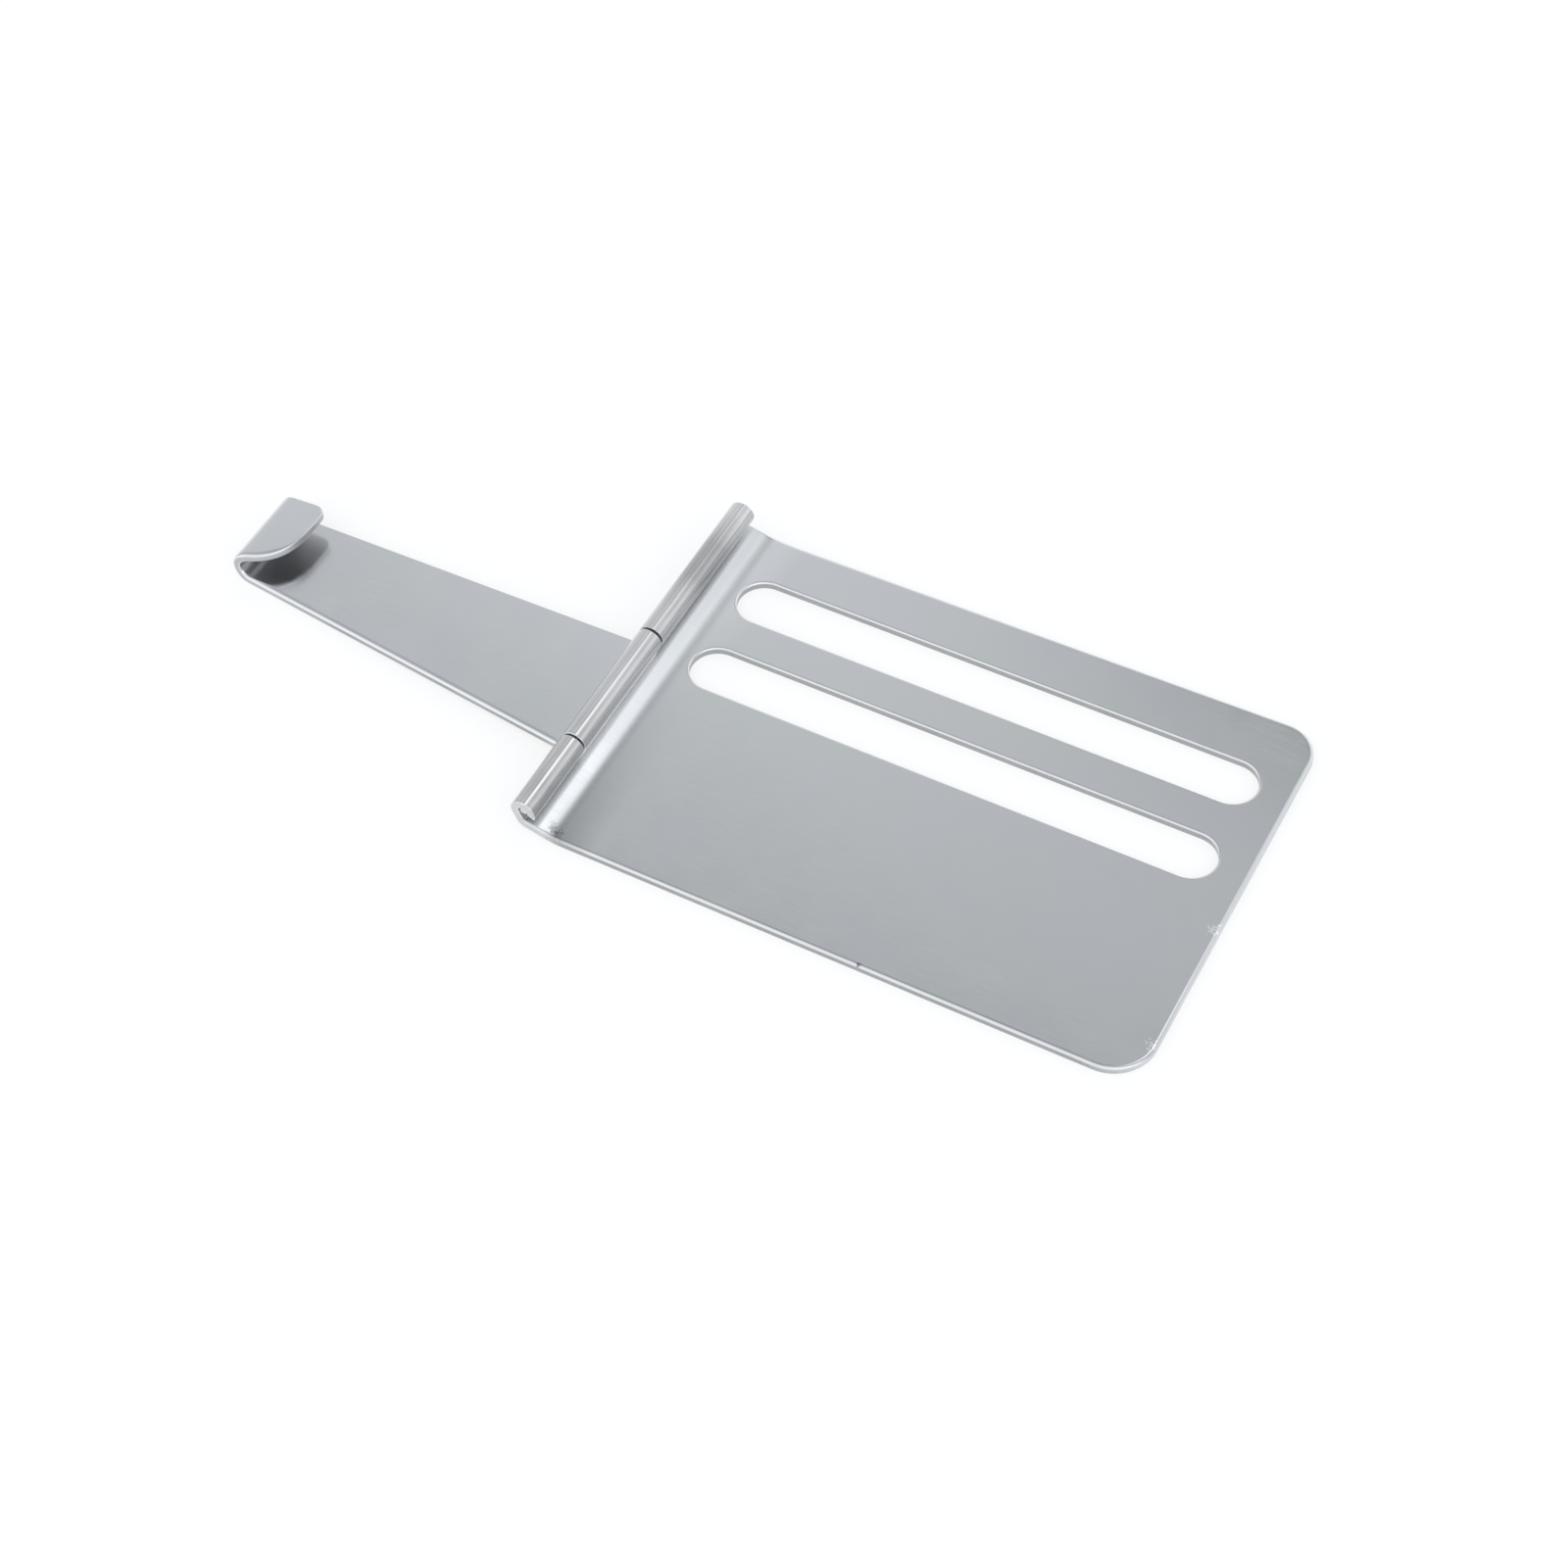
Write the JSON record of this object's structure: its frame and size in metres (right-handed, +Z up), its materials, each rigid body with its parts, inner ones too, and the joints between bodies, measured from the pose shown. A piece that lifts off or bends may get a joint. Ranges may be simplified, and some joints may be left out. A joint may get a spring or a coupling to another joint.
{
  "type": "hinged seam guide",
  "caption": "Hinged seam guide: slotted steel base plate with a swinging, tapered arm whose hooked tip guides a fabric edge beside the needle.",
  "frame": {"origin": "on the underside of the base plate, at the middle of the web between its two slots", "axes": "+X from the hinge towards the plate's free end, along the slots; +Y along the hinge, towards the slotted side of the plate; +Z up from the machine bed"},
  "size_m": [0.0993, 0.0411, 0.0041],
  "materials": {
    "stainless_sheet": "satin stainless sheet",
    "pin_wire": "plain drawn steel wire"
  },
  "bodies": {
    "plate": {"base_plate": "stainless_sheet", "hinge_pin": "pin_wire"},
    "arm": {"guide_arm": "stainless_sheet"}
  },
  "joints": [
    {"name": "arm_hinge", "type": "hinge", "parent": "plate", "child": "arm", "pos_m": [-0.02975, -0.0126, 0.0029], "axis": [0, 1, 0], "range_deg": [-15, 182]}
  ]
}
